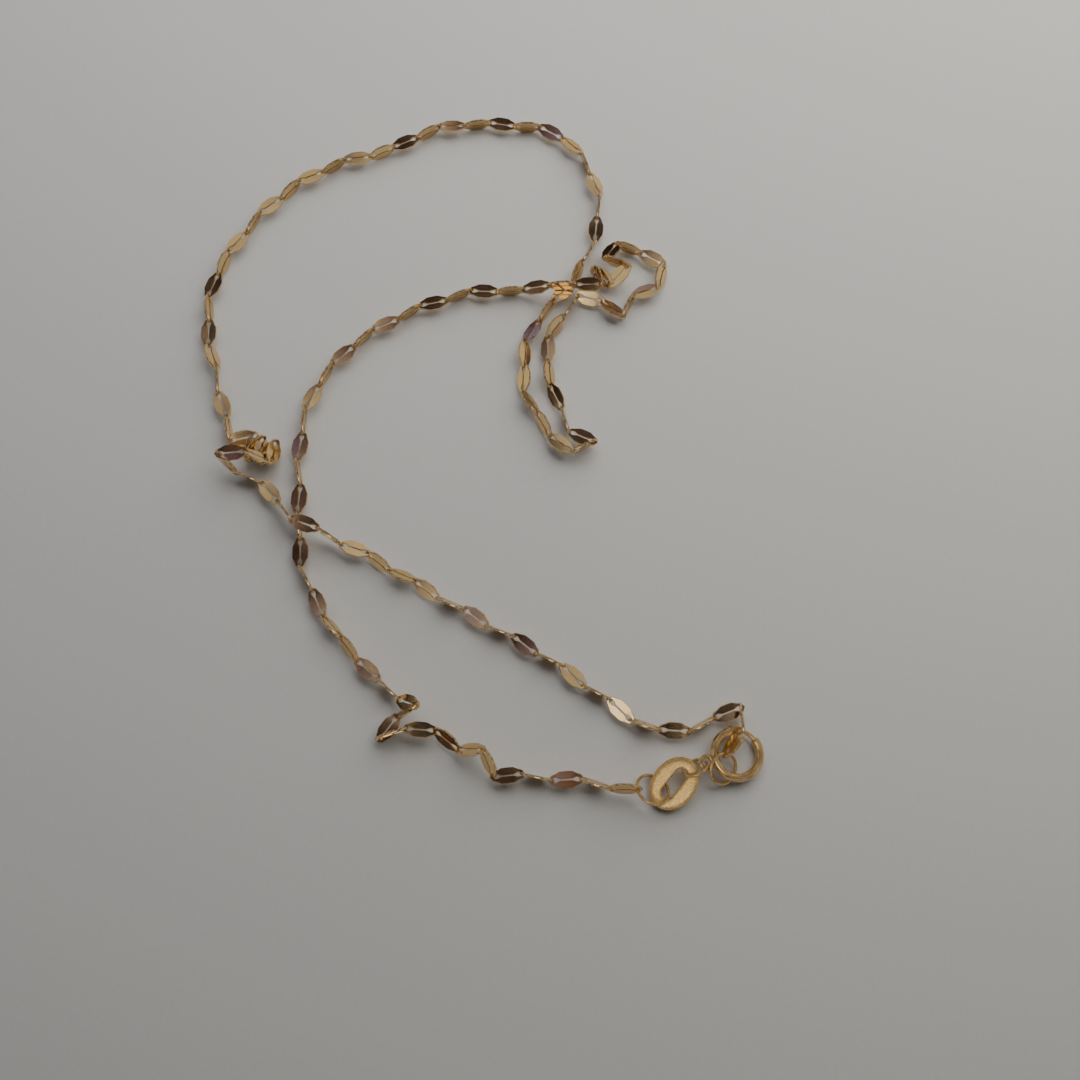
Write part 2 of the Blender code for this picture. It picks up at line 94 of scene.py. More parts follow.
# Spring ring: a hollow ring with a gate, a bolt that slides inside it, and a soldered eye
CLASP_CENTRE = Vector((19.90, -22.60, 0.86))
CLASP_LEAN = 8.0
CLASP_R = 2.35
BOLT_R = 0.24
BORE_GAP = 0.09
TUBE_WALL = 0.12
BORE_R = BOLT_R + BORE_GAP
TUBE_R = BORE_R + TUBE_WALL
GATE_START = 38.0
GATE_END = 76.0
BOLT_TIP = 32.0
BOLT_TAIL = 116.0
BOLT_TRAVEL = 44.0
BORE_SPARE = 8.0
SOCKET_SPARE = 5.0
GATE_SPARE = 8.0
KNOB_AT = 102.0
KNOB_STEM_HALF = 0.11
KNOB_HEAD_R = 0.24
KNOB_HEAD_THICK = 0.29
KNOB_FOOT = 0.06
KNOB_DOME = 0.10
KNOB_CROWN = 0.03
KNOB_EDGE_SHARE = 0.8
KNOB_CROWN_SHARE = 0.5
KNOB_CLEAR = 0.07
SLIT_GAP = 0.07
EYE_AT = 195.0
EYE_R = 0.62
EYE_WIRE_R = 0.20
EYE_SINK = 0.27

# Roll of the last link, which a jump ring holds to the spring ring
LAST_ROLL = 320

# How far the joints of a strand stand to one side and the other of its line
WAVER = 0.24

# Points on each stretch of a strand's line, how many of them it looks ahead, and a fold's turn
LINE_STEPS = 60
LINE_AHEAD = 6
FOLD_TURN = 0.98

# The chain is in two pieces that hook into each other, loose, before this link
SPLIT_AT = 54

# Height of the chain's middle line where it rests on the table
REST = PETAL_Y + PETAL_HALF_WIDTH

# Leaves of the link: stations along them, how they narrow, how far they stay flat, and their lean
LEAF_STATIONS = (0.0, 0.62, 1.04)
LEAF_HALF_THICK = 0.13
LEAF_FACE_SHARE = 0.88
LEAF_FADE = 1.50
LEAF_CURVE = 4.2
LEAF_FLAT_TO = 0.95
LEAF_LEAN = 0.5

# Slot between the leaves, which widens towards the bows
SLOT_HALF = 0.05
SLOT_FLARE_FROM = 0.80
SLOT_FLARE = 0.45

# Bows of the link: where they begin, and the angles of their stations
BOW_X = 1.15
BOW_Y = 0.39
BOW_STATIONS = (55.0, 0.0)

# Each link is rolled at random by up to this much, with a fixed seed
ROLL_PLAY = math.radians(4.0)
ROLL_SEED = 7

# Fineness: sides round a section, and steps along it
WIRE_SIDES = 14
EYE_SIDES = 12
KNOB_SIDES = 20
JUMP_RING_STEPS = 56
TUBE_STEPS = 84
BORE_STEPS = 30
SOCKET_STEPS = 6
SLIT_STEPS = 16
PIN_STEPS = 40
EYE_STEPS = 36
TAG_COLUMNS_FINE = 72

# Facets that meet at more than this many degrees keep a sharp edge between them
SHARP_LEAF = 62
SHARP_WIRE = 50
SHARP_TAG = 60
SHARP_CUT = 35

# Points that lie nearer to each other than this are made one
MERGE_WITHIN = 0.001

# Paper: how far the sheet reaches, and the size and height of its fibres
SHEET_REACH = 600
PAPER_GRAIN = 0.5
PAPER_RELIEF = 0.03

# Camera: its place from the middle of the layout's picture, its pitch, and its lens
CAMERA_AT = Vector((0, -30.02, 112.05))
VIEW_PITCH = 75.0
SENSOR_WIDTH = 36.0
LENS_LENGTH = 36.1

# Lamps: the window and the bounce light the paper, the pane and the card show in the gold
WINDOW_AT = (90, 145, 110)
WINDOW_AIM = (10, 40, 0)
WINDOW_SIZE = 290
WINDOW_POWER = 0.66
PANE_SIZE = 250
PANE_POWER = 0.26
BOUNCE_AT = (-130, 170, 150)
BOUNCE_AIM = (-20, 40, 0)
BOUNCE_SIZE = 220
BOUNCE_POWER = 0.13
CARD_AT = (-3, -103, 186)
CARD_AIM = (20, -37, 0)
CARD_SIZE = 80
CARD_POWER = 0.034

# Room that the gold mirrors: its areas, how height shifts them, and its colours by the areas' value
AIR_STRENGTH = 0.03
ROOM_SCALE = 5.5
ROOM_SHIFT = 8.0
ROOM_STRENGTH = 1.2
ROOM_SIDE = 0.75
SIDE_LIFT = 0.015
OVERHEAD_LIFT = -0.03
ROOM = (
    (0.0, "0C0C0E"), (0.463, "16151A"), (0.480, "704A2E"), (0.502, "5A3E28"), (0.510, "6C78DC"),
    (0.518, "6C78DC"), (0.528, "8A8270"), (0.548, "BAB4A4"), (1.0, "ECE8DC"),
)

# Route of the chain from the tag's ring to the spring ring: x, y, lift above rest, roll of the links
# On a strand the links follow a smooth line, and among folds each row is where one link ends
ROUTE = (
    (
        "strand",
        (
            (6.40, -25.70, 0.15, -62),
            (4.20, -25.20, 0.00, -20),
            (1.30, -25.00, 0.00, 0),
            (-2.00, -24.75, 0.00, 0),
            (-4.60, -24.65, 0.00, 10),
            (-6.40, -24.90, 0.05, 10),
        ),
    ),
    (
        "folds",
        (
            (-5.60, -22.40, 1.20, 40),
            (-8.10, -22.20, 0.10, 40),
        ),
    ),
    (
        "strand",
        (
            (-9.90, -20.90, 0.00, 45),
            (-12.40, -19.45, 0.30, 45),
        ),
    ),
    (
        "folds",
        (
            (-13.80, -20.10, 0.60, 20),
            (-16.60, -21.10, 0.00, 0),
            (-14.60, -19.00, 0.30, 0),
            (-12.60, -17.90, 1.80, 30),
            (-14.60, -17.10, 0.00, 0),
        ),
    ),
    (
        "strand",
        (
            (-16.70, -15.30, 0.00, 0),
            (-18.40, -13.30, 0.00, 0),
            (-20.80, -10.80, 0.00, 30),
            (-22.40, -8.50, 0.00, 60),
            (-24.00, -6.00, 0.00, 80),
            (-25.10, -3.40, 0.00, 90),
            (-25.65, -0.50, 0.00, 90),
            (-25.75, 2.50, 0.00, 90),
            (-25.95, 5.40, 0.00, 90),
            (-26.15, 8.60, 0.00, 90),
            (-26.15, 11.40, 0.00, 90),
            (-25.70, 14.40, 0.00, 90),
            (-24.70, 17.30, 0.00, 90),
            (-22.60, 20.35, 0.00, 90),
            (-20.50, 22.65, 0.00, 90),
            (-18.20, 24.30, 0.00, 90),
            (-15.70, 25.80, 0.00, 90),
            (-13.10, 27.10, 0.00, 90),
            (-10.20, 28.10, 0.00, 90),
            (-7.20, 28.95, 0.00, 90),
            (-4.10, 29.05, 0.00, 90),
            (-1.30, 28.85, 0.05, 90),
        ),
    ),
    (
        "folds",
        (
            (1.25, 29.10, 1.15, 90),
            (4.25, 29.10, 1.25, 90),
            (7.20, 29.30, 1.00, 90),
            (6.30, 31.40, 0.10, 110),
            (8.40, 29.20, 0.20, 120),
            (10.10, 31.50, 1.40, 170),
            (7.40, 32.50, 1.00, 180),
            (8.90, 35.00, 0.10, 160),
            (11.40, 33.80, 0.00, 180),
            (14.00, 32.30, 0.10, 190),
            (13.40, 29.50, 0.00, 220),
            (10.80, 28.50, 0.00, 190),
            (9.40, 26.00, 0.00, 190),
            (7.00, 27.70, 0.00, 205),
            (4.20, 28.50, 0.00, 240),
        ),
    ),
    (
        "strand",
        (
            (2.60, 26.10, 0.00, 255),
            (1.25, 23.85, 0.00, 230),
            (0.60, 21.20, 0.00, 200),
            (1.00, 18.60, 0.00, 215),
            (1.70, 16.20, 0.00, 225),
            (2.60, 13.60, 0.00, 210),
            (3.60, 11.60, 0.00, 190),
        ),
    ),
    (
        "folds",
        (
            (6.20, 10.60, 0.30, 180),
            (3.50, 9.60, 0.30, 180),
        ),
    ),
    (
        "strand",
        (
            (1.60, 11.30, 0.00, 180),
            (0.20, 12.90, 0.00, 200),
            (-1.10, 15.40, 0.00, 220),
            (-2.00, 18.00, 0.00, 235),
            (-1.80, 21.10, 0.00, 230),
            (-1.20, 23.85, 0.00, 225),
            (0.35, 26.20, 0.00, 240),
            (1.90, 27.90, 0.00, 260),
            (3.20, 29.40, 0.00, 270),
            (4.20, 31.00, 0.00, 265),
            (5.20, 33.00, 0.00, 240),
            (6.10, 35.30, 0.00, 205),
            (6.80, 38.00, 0.00, 185),
            (6.80, 40.90, 0.00, 180),
            (6.20, 43.60, 0.00, 195),
            (5.10, 46.00, 0.00, 180),
            (3.60, 48.30, 0.00, 180),
            (1.40, 49.80, 0.00, 230),
            (-1.00, 50.40, 0.00, 270),
            (-3.70, 50.70, 0.00, 270),
            (-6.50, 50.75, 0.00, 265),
            (-9.50, 50.65, 0.00, 270),
            (-12.50, 50.10, 0.00, 280),
            (-14.90, 48.90, 0.00, 270),
            (-16.90, 47.50, 0.00, 270),
            (-19.60, 46.60, 0.00, 280),
            (-22.80, 45.80, 0.00, 270),
            (-25.40, 44.50, 0.00, 265),
            (-28.10, 42.90, 0.00, 270),
            (-30.20, 40.90, 0.00, 275),
            (-32.30, 38.80, 0.00, 270),
            (-33.90, 36.40, 0.00, 265),
            (-35.50, 33.80, 0.00, 270),
            (-36.80, 31.00, 0.00, 290),
            (-37.35, 28.30, 0.00, 275),
            (-37.40, 25.60, 0.00, 285),
            (-36.95, 22.65, 0.00, 270),
            (-36.20, 19.90, 0.00, 300),
            (-35.60, 17.40, 0.00, 335),
            (-34.80, 14.60, 0.00, 355),
            (-34.20, 12.60, 0.00, 360),
        ),
    ),
    (
        "folds",
        (
            (-33.60, 10.20, 0.00, 365),
            (-31.20, 11.50, 0.10, 390),
            (-31.60, 8.70, 0.00, 410),
            (-30.10, 11.30, 0.00, 410),
            (-30.20, 8.50, 0.00, 410),
            (-28.70, 10.80, 0.00, 410),
            (-28.90, 8.10, 0.95, 405),
            (-31.40, 9.05, 1.90, 405),
            (-34.30, 8.75, 2.05, 440),
            (-33.20, 7.60, 0.50, 430),
        ),
    ),
    (
        "strand",
        (
            (-30.30, 6.80, 0.08, 370),
            (-28.90, 4.70, 0.00, 360),
            (-27.60, 3.00, 0.60, 360),
            (-26.20, 1.85, 1.35, 360),
            (-24.00, 0.75, 1.27, 360),
            (-21.90, -0.20, 0.35, 360),
            (-19.40, -1.30, 0.00, 355),
            (-17.00, -2.60, 0.00, 335),
            (-14.30, -4.30, 0.00, 315),
            (-11.70, -5.70, 0.00, 310),
            (-8.70, -7.50, 0.00, 300),
            (-6.20, -8.90, 0.00, 275),
            (-3.60, -10.30, 0.00, 290),
            (-1.00, -11.80, 0.00, 270),
            (1.60, -13.40, 0.00, 270),
            (3.90, -15.10, 0.00, 270),
            (6.50, -16.90, 0.00, 270),
            (8.70, -18.60, 0.00, 275),
            (11.20, -20.10, 0.00, 295),
            (13.90, -20.70, 0.00, 285),
            (15.60, -20.00, 0.00, 285),
        ),
    ),
    (
        "folds",
        (
            (16.90, -19.40, 0.00, 285),
            (19.50, -18.30, 0.10, 285),
            (20.45, -20.50, 1.32, 285),
        ),
    ),
)


# Directions and placings
def unit(vector):
    """The vector at a length of one."""
    return vector / vector.length


def heading(degrees, length=1.0):
    """A level vector that points the given way."""
    angle = math.radians(degrees)
    return Vector((length * math.cos(angle), length * math.sin(angle), 0.0))


def turn(degrees, axis):
    """A turn about one of the axes."""
    return Matrix.Rotation(math.radians(degrees), 4, axis)


def circle(sides):
    """The cosine and sine of each corner of a round section."""
    angles = [2 * math.pi * k / sides for k in range(sides)]
    return [(math.cos(angle), math.sin(angle)) for angle in angles]


def tag_placing():
    """The placing of the tag, which rises towards one end."""
    return Matrix.Translation(TAG_CENTRE) @ turn(TAG_HEADING, "Z") @ turn(-TAG_RISE, "Y")


def clasp_placing():
    """The placing of the spring ring, whose eye side is raised off the table."""
    return Matrix.Translation(CLASP_CENTRE) @ turn(CLASP_LEAN, "Y")


def eye_centre():
    """The middle of the soldered eye, on the spring ring."""
    return heading(EYE_AT, CLASP_R + TUBE_R + EYE_R + EYE_WIRE_R - EYE_SINK)


def tag_side_placing():
    """The placing of the ring whose wire passes through the tag's slot."""
    tilted = turn(TAG_SIDE_HIGH, "Z") @ turn(-TAG_SIDE_TILT, "Y")
    centre = tag_placing() @ TAG_SIDE_PASS - tilted @ heading(TAG_SIDE_SLOT, TAG_SIDE_R)
    return Matrix.Translation(centre) @ tilted


def clasp_side_placing():
    """The placing of the ring that goes round the spring ring's tube."""
    centre = clasp_placing() @ heading(CLASP_SIDE_AT, CLASP_R - CLASP_SIDE_INSET)
    return Matrix.Translation(centre) @ turn(CLASP_SIDE_HIGH, "Z") @ turn(-CLASP_SIDE_TILT, "Y")


def middle_placing():
    """The placing and radius of the ring that joins the tag's slot to the eye."""
    first, second = tag_placing() @ MIDDLE_PASS, clasp_placing() @ eye_centre()
    along = unit(second - first)
    side = unit(along.cross(Vector((0, 0, 1))))
    lean = math.radians(MIDDLE_LEAN)
    risen = side.cross(along) * math.cos(lean) + side * math.sin(lean)
    turned = Matrix((along, risen, along.cross(risen))).transposed()
    return Matrix.Translation((first + second) / 2) @ turned.to_4x4(), (second - first).length / 2


def hook(placing, radius, at, aside):
    """Where a link's bow sits inside a ring, held by the ring's wire a little to one side of it."""
    return placing @ (heading(at, radius - RING_WIRE_R - HOOK_GAP - WIRE_R) + Vector((0, 0, aside)))


def smooth_line(rows):
    """Points close together on a Catmull-Rom line through the rows, each with its roll."""
    line = []
    for i in range(len(rows) - 1):
        before = rows[max(i - 1, 0)]
        start, end = rows[i], rows[i + 1]
        after = rows[min(i + 2, len(rows) - 1)]
        for step in range(LINE_STEPS):
            t = step / LINE_STEPS
            blend = []
            for a, b, c, d in zip(before, start, end, after):
                blend.append(
                    0.5 * (2 * b + (c - a) * t + (2 * a - 5 * b + 4 * c - d) * t**2
                           + (3 * b - a - 3 * c + d) * t**3)
                )
            line.append(blend)
    line.append(list(rows[-1]))
    return [(Vector(p[:3]), p[3]) for p in line]


# Chain layout
LINK_SPAN = 2 * LINK_REACH


def bite(index):
    """How far the bows of a link and of the one before it reach into each other."""
    return 2 * WIRE_R + (FREE_GAP if index == SPLIT_AT else -WELD)


def lay_links():
    """Each link's two bow centres and its roll, walked along the route with no change of length."""
    links = []
    start = hook(tag_side_placing(), TAG_SIDE_R, TAG_SIDE_HOOK, TAG_SIDE_ASIDE)
    last = hook(clasp_side_placing(), CLASP_SIDE_R, CLASP_SIDE_HOOK, CLASP_SIDE_ASIDE)
    for kind, rows in ROUTE + (("folds", ((last.x, last.y, last.z - REST, LAST_ROLL),)),):
        places = [(Vector((x, y, REST + lift)), roll) for x, y, lift, roll in rows]
        if kind == "strand":
            ends = [(*start, places[0][1])] + [(*point, roll) for point, roll in places]
            line = smooth_line(ends)
            at = 0
            while True:
                beyond = at
                while beyond < len(line) and (line[beyond][0] - start).length < LINK_SPAN:
                    beyond += 1
                if beyond == len(line):
                    break
                ahead = line[min(beyond + LINE_AHEAD, len(line) - 1)][0] - line[beyond - 1][0]
                aside = WAVER * (-1) ** len(links) * unit(Vector((-ahead.y, ahead.x, 0)))
                direction = unit(line[beyond][0] + aside - start)
                end = start + LINK_SPAN * direction
                links.append((start, end, line[beyond][1]))
                start = end - bite(len(links)) * unit(direction + unit(ahead))
                at = beyond
        else:
            for i, (target, roll) in enumerate(places):
                direction = unit(target - start)
                end = start + LINK_SPAN * direction
                links.append((start, end, roll))
                onward = direction
                if i + 1 < len(places):
                    onward = unit(direction + FOLD_TURN * unit(places[i + 1][0] - end))
                start = end - bite(len(links)) * onward
    return links


def link_placing(start, end, roll):
    """The placing of a link that spans two points, flat side up where roll is 0."""
    along = unit(end - start)
    across = unit(Vector((0, 0, 1)).cross(along))
    flat = Matrix((along, across, along.cross(across))).transposed()
    return Matrix.Translation((start + end) / 2) @ flat.to_4x4() @ turn(roll, "X")


# Meshes
PLACED = Matrix.Scale(MM, 4) @ Matrix.Translation(LAID_AT)


def add_object(name, data):
    """An object in the scene that shows the given data."""
    made = bpy.data.objects.new(name, data)
    bpy.context.scene.collection.objects.link(made)
    return made


def keep(name, mesh, metal, body, replaced):
    """A finished piece at the origin that rides on a body and stands for one of the solids."""
    made = add_object(name, mesh)
    mesh.materials.clear()
    mesh.materials.append(metal)
    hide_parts(replaced)
    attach(made, body)
    return made


def tidied(mesh, sharp_above):
    """The mesh merged, facing outwards, and round where its facets meet at less than the angle."""
    shape = bmesh.new()
    shape.from_mesh(mesh)
    bmesh.ops.remove_doubles(shape, verts=shape.verts, dist=MERGE_WITHIN)
    bmesh.ops.recalc_face_normals(shape, faces=shape.faces)
    shape.to_mesh(mesh)
    shape.free()
    mesh.shade_smooth()
    mesh.set_sharp_from_angle(angle=math.radians(sharp_above))
    return mesh


def loft(name, rows, closed, sharp_above):
    """A mesh through rows of points, joined end to end or capped."""
    count = len(rows[0])
    points = [tuple(point) for row in rows for point in row]
    faces = []
    for i in range(len(rows) if closed else len(rows) - 1):
        j = (i + 1) % len(rows)
        for k in range(count):
            m = (k + 1) % count
            faces.append((i * count + k, i * count + m, j * count + m, j * count + k))
    if not closed:
        faces.append(tuple(reversed(range(count))))
        faces.append(tuple(range(len(points) - count, len(points))))
    mesh = bpy.data.meshes.new(name)
    mesh.from_pydata(points, [], faces)
    return tidied(mesh, sharp_above)


def bent_wire(name, radius, wire_r, first, last, steps):
    """A round wire bent about the Z axis from one angle to another, with softened ends."""
    # Steps of each end: how deep in it, and the radius there, as shares of the wire's radius
    ends = ((0.0, 0.72), (0.10, 0.92), (0.22, 1.0))
    soft = [(math.degrees(depth * wire_r / radius), share) for depth, share in ends]
    eased = soft[-1][0]
    stations = [(first + at, share) for at, share in soft]
    stations += [(first + eased + (last - first - 2 * eased) * i / steps, 1.0) for i in range(1, steps)]
    stations += [(last - at, share) for at, share in reversed(soft)]
    rows = []
    for at, share in stations:
        out = heading(at)
        rows.append([
            out * (radius + share * wire_r * cosine) + Vector((0, 0, share * wire_r * sine))
            for cosine, sine in circle(WIRE_SIDES)
        ])
    return loft(name, rows, False, SHARP_WIRE)


def leaf_section(across, roundness):
    """Six points between a flat leaf and round wire, as (outwards, up)."""
    face = LEAF_FACE_SHARE
    flat = ((1.0, 0.0), (face, 1.0), (-face, 1.0), (-1.0, 0.0), (-face, -1.0), (face, -1.0))
    section = []
    for (x, z), corner in zip(flat, circle(len(flat))):
        leaf = Vector((x * across, z * LEAF_HALF_THICK))
        wire = Vector(corner) * WIRE_R
        section.append(leaf.lerp(wire, roundness))
    return section


def leaf_link():
    """One link: two flat leaves side by side, joined by a round bow at each end."""
    quarter = []
    for x in LEAF_STATIONS:
        outer = (PETAL_Y + PETAL_HALF_WIDTH) * (1 - (x / LEAF_FADE) ** LEAF_CURVE)
        inner = SLOT_HALF + max(0.0, x - SLOT_FLARE_FROM) * SLOT_FLARE
        roundness = min(1.0, max(0.0, (x - LEAF_FLAT_TO) / (BOW_X - LEAF_FLAT_TO)))
        quarter.append((x, (outer + inner) / 2, 90.0, (outer - inner) / 2, roundness))
    for at in BOW_STATIONS:
        x = BOW_X + (LINK_REACH - BOW_X) * math.cos(math.radians(at))
        y = BOW_Y * math.sin(math.radians(at))
        quarter.append((x, y, at, WIRE_R, 1.0))
    front = quarter[1:]
    back = [(-x, y, 180 - at, half, share) for x, y, at, half, share in front]
    ring = list(reversed(front)) + [quarter[0]] + back
    ring += [(x, -y, 360 - at, half, share) for x, y, at, half, share in reversed(ring[1:-1])]
    rows = []
    for x, y, at, half, share in ring:
        lean = math.radians(LEAF_LEAN) * (1 - share)
        row = []
        for out, up in leaf_section(half, share):
            row.append(Vector((x, y, 0)) + heading(at, out) + Vector((0, 0, up + lean * out)))
        rows.append(row)
    return loft("leaf_link", rows, True, SHARP_LEAF)


def solid_of(base, others, operation):
    """The mesh that is left when the other meshes are joined to the base or cut from it."""
    group = bpy.data.collections.new("helpers")
    bpy.context.scene.collection.children.link(group)
    thing = add_object("base", base)
    helpers = [bpy.data.objects.new("helper", other) for other in others]
    for helper in helpers:
        group.objects.link(helper)
    modifier = thing.modifiers.new("join", "BOOLEAN")
    modifier.operation = operation
    modifier.operand_type = "COLLECTION"
    modifier.collection = group
    modifier.solver = "EXACT"
    graph = bpy.context.evaluated_depsgraph_get()
    mesh = bpy.data.meshes.new_from_object(thing.evaluated_get(graph))
    for spent in [thing] + helpers:
        bpy.data.objects.remove(spent)
    bpy.data.collections.remove(group)
    return tidied(mesh, SHARP_CUT)


def eye_ring():
    """The eye that is soldered to the spring ring."""
    rows = []
    for i in range(EYE_STEPS):
        at = 360.0 * i / EYE_STEPS
        rows.append([
            heading(at, EYE_R + EYE_WIRE_R * cosine) + Vector((0, 0, EYE_WIRE_R * sine))
            for cosine, sine in circle(EYE_SIDES)
        ])
    mesh = loft("eye", rows, True, SHARP_WIRE)
    mesh.transform(Matrix.Translation(eye_centre()))
    return mesh


def spring_ring():
    """The hollow ring with its eye, its bore open at the gate, and the slit for the knob."""
    tube = bent_wire("tube", CLASP_R, TUBE_R, GATE_END, GATE_START + 360, TUBE_STEPS)
    bore_end = BOLT_TAIL + BOLT_TRAVEL + BORE_SPARE
    bore = bent_wire("bore", CLASP_R, BORE_R, GATE_END - GATE_SPARE, bore_end, BORE_STEPS)
    socket_start = BOLT_TIP - SOCKET_SPARE
    socket = bent_wire("socket", CLASP_R, BORE_R, socket_start, GATE_START + GATE_SPARE, SOCKET_STEPS)
    half = KNOB_STEM_HALF + SLIT_GAP
    side = math.degrees(half / CLASP_R)
    inner = CLASP_R + BORE_R / 2
    outer = CLASP_R + 2 * TUBE_R
    corners = ((inner, -half), (outer, -half), (outer, half), (inner, half))
    rows = []
    for k in range(SLIT_STEPS + 1):
        at = KNOB_AT - side + (BOLT_TRAVEL + 2 * side) * k / SLIT_STEPS
        rows.append([heading(at, x) + Vector((0, 0, z)) for x, z in corners])
    slit = loft("slit", rows, False, SHARP_CUT)
    return solid_of(solid_of(tube, [eye_ring()], "UNION"), [bore, socket, slit], "DIFFERENCE")


def bolt():
    """The curved bolt with the thumb knob that draws it back."""
    pin = bent_wire("pin", CLASP_R, BOLT_R, BOLT_TIP, BOLT_TAIL, PIN_STEPS)
    base = CLASP_R + TUBE_R + KNOB_CLEAR
    top = base + KNOB_HEAD_THICK
    # Each row of the knob: how far out it is, and its radius
    profile = (
        (CLASP_R, KNOB_STEM_HALF), (base, KNOB_STEM_HALF), (base, KNOB_EDGE_SHARE * KNOB_HEAD_R),
        (base + KNOB_FOOT, KNOB_HEAD_R), (top - KNOB_DOME, KNOB_HEAD_R),
        (top - KNOB_CROWN, KNOB_EDGE_SHARE * KNOB_HEAD_R), (top, KNOB_CROWN_SHARE * KNOB_HEAD_R),
    )
    rows = []
    for out, radius in profile:
        rows.append([Vector((out, radius * cosine, radius * sine)) for cosine, sine in circle(KNOB_SIDES)])
    knob = loft("knob", rows, False, SHARP_WIRE)
    knob.transform(turn(KNOB_AT, "Z"))
    return solid_of(pin, [knob], "UNION")


def oval_tag():
    """An oval plate with a rolled rim and a slot whose edges are eased."""
    half = TAG_THICK / 2
    # Steps of the rim as (inwards, up), and of the slot's edge as (outwards, up)
    rim_steps = (
        (0.0, 0.0), (0.04, 0.10), (0.12, 0.17), (0.26, 0.215), (0.46, 0.24), (0.66, half), (0.72, half),
    )
    slot_steps = ((0.34, half), (0.28, half), (0.14, 0.235), (0.04, 0.20), (0.0, 0.13))
    rows = []
    for k in range(TAG_COLUMNS_FINE):
        angle = 2 * math.pi * (k + 0.5) / TAG_COLUMNS_FINE
        cosine, sine = math.cos(angle), math.sin(angle)
        rim = Vector((TAG_HALF_LENGTH * cosine, TAG_HALF_WIDTH * sine, 0))
        shift = math.copysign(SLOT_HALF_LENGTH - SLOT_HALF_WIDTH, cosine)
        slot = Vector((shift + SLOT_HALF_WIDTH * cosine, SLOT_HALF_WIDTH * sine, 0))
        inwards = -unit(rim - slot)
        upper = [rim + inwards * step + Vector((0, 0, up)) for step, up in rim_steps]
        upper += [slot - inwards * step + Vector((0, 0, up)) for step, up in slot_steps]
        lower = [Vector((point.x, point.y, -point.z)) for point in reversed(upper[1:])]
        rows.append(upper + lower)
    return loft("tag", rows, True, SHARP_TAG)


# Node trees
def add_node(tree, kind, inputs=None, **settings):
    """Adds a node with its settings, each input given as a value or as the socket that feeds it."""
    made = tree.nodes.new(kind)
    for key, value in settings.items():
        setattr(made, key, value)
    for key, value in (inputs or {}).items():
        if isinstance(value, bpy.types.NodeSocket):
            tree.links.new(value, made.inputs[key])
        else:
            made.inputs[key].default_value = value
    return made


def linking_tree():
    """Sets a link on each point, turned as its attribute says and rolled a little at random."""
    tree = bpy.data.node_groups.new("leaf_links_on_points", "GeometryNodeTree")
    sockets = (
        ("Points", "NodeSocketGeometry"), ("Link", "NodeSocketObject"), ("Gold", "NodeSocketMaterial"),
        ("Link Unit", "NodeSocketFloat"), ("Roll Play", "NodeSocketFloat"), ("Seed", "NodeSocketInt"),
    )
    for name, kind in sockets:
        tree.interface.new_socket(name=name, in_out="INPUT", socket_type=kind)
    tree.interface.new_socket(name="Links", in_out="OUTPUT", socket_type="NodeSocketGeometry")
    given = add_node(tree, "NodeGroupInput").outputs
    link = add_node(tree, "GeometryNodeObjectInfo", {"Object": given["Link"]})
    turned = add_node(tree, "GeometryNodeInputNamedAttribute", {"Name": "turn"}, data_type="FLOAT_VECTOR")
    turned = add_node(tree, "FunctionNodeEulerToRotation", {0: turned.outputs["Attribute"]})
    back = add_node(tree, "ShaderNodeMath", {0: given["Roll Play"], 1: -1.0}, operation="MULTIPLY")
    play = add_node(
        tree, "FunctionNodeRandomValue", {2: back.outputs[0], 3: given["Roll Play"], "Seed": given["Seed"]},
        data_type="FLOAT",
    )
    roll = add_node(tree, "ShaderNodeCombineXYZ", {"X": play.outputs[1]})
    roll = add_node(tree, "FunctionNodeEulerToRotation", {0: roll.outputs[0]})
    rolled = add_node(
        tree, "FunctionNodeRotateRotation", {0: turned.outputs[0], 1: roll.outputs[0]}, rotation_space="LOCAL"
    )
    size = add_node(tree, "ShaderNodeCombineXYZ", {axis: given["Link Unit"] for axis in "XYZ"})
    placed = add_node(
        tree, "GeometryNodeInstanceOnPoints",
        {"Points": given["Points"], "Instance": link.outputs["Geometry"], "Rotation": rolled.outputs[0],
         "Scale": size.outputs[0]},
    )
    real = add_node(tree, "GeometryNodeRealizeInstances", {0: placed.outputs[0]})
    gilt = add_node(tree, "GeometryNodeSetMaterial", {"Geometry": real.outputs[0], "Material": given["Gold"]})
    add_node(tree, "NodeGroupOutput", {0: gilt.outputs[0]})
    return tree


def chain_mesh(name, links, first, last, tree, link, metal):
    """The links from first to last, set out by the tree, as one plain mesh."""
    placings = []
    for i in range(first, last):
        start, end, roll = links[i]
        placings.append(PLACED @ link_placing(start, end, roll + 90 * (i % 2)))
    mesh = bpy.data.meshes.new(name)
    mesh.from_pydata([placing.translation for placing in placings], [], [])
    turns = mesh.attributes.new("turn", "FLOAT_VECTOR", "POINT")
    for i, placing in enumerate(placings):
        turns.data[i].vector = placing.to_euler()
    points = add_object(name, mesh)
    modifier = points.modifiers.new("links", "NODES")
    modifier.node_group = tree
    values = {"Link": link, "Gold": metal, "Link Unit": MM, "Roll Play": ROLL_PLAY, "Seed": ROLL_SEED}
    for socket in tree.interface.items_tree:
        if socket.name in values:
            modifier[socket.identifier] = values[socket.name]
    graph = bpy.context.evaluated_depsgraph_get()
    made = bpy.data.meshes.new_from_object(points.evaluated_get(graph))
    bpy.data.objects.remove(points)
    return made


# Materials
def linear(code):
    """The linear colour of an sRGB hex value."""
    shares = [int(code[k:k + 2], 16) / 255 for k in (0, 2, 4)]
    return (*[s / 12.92 if s <= 0.04045 else ((s + 0.055) / 1.055) ** 2.4 for s in shares], 1.0)


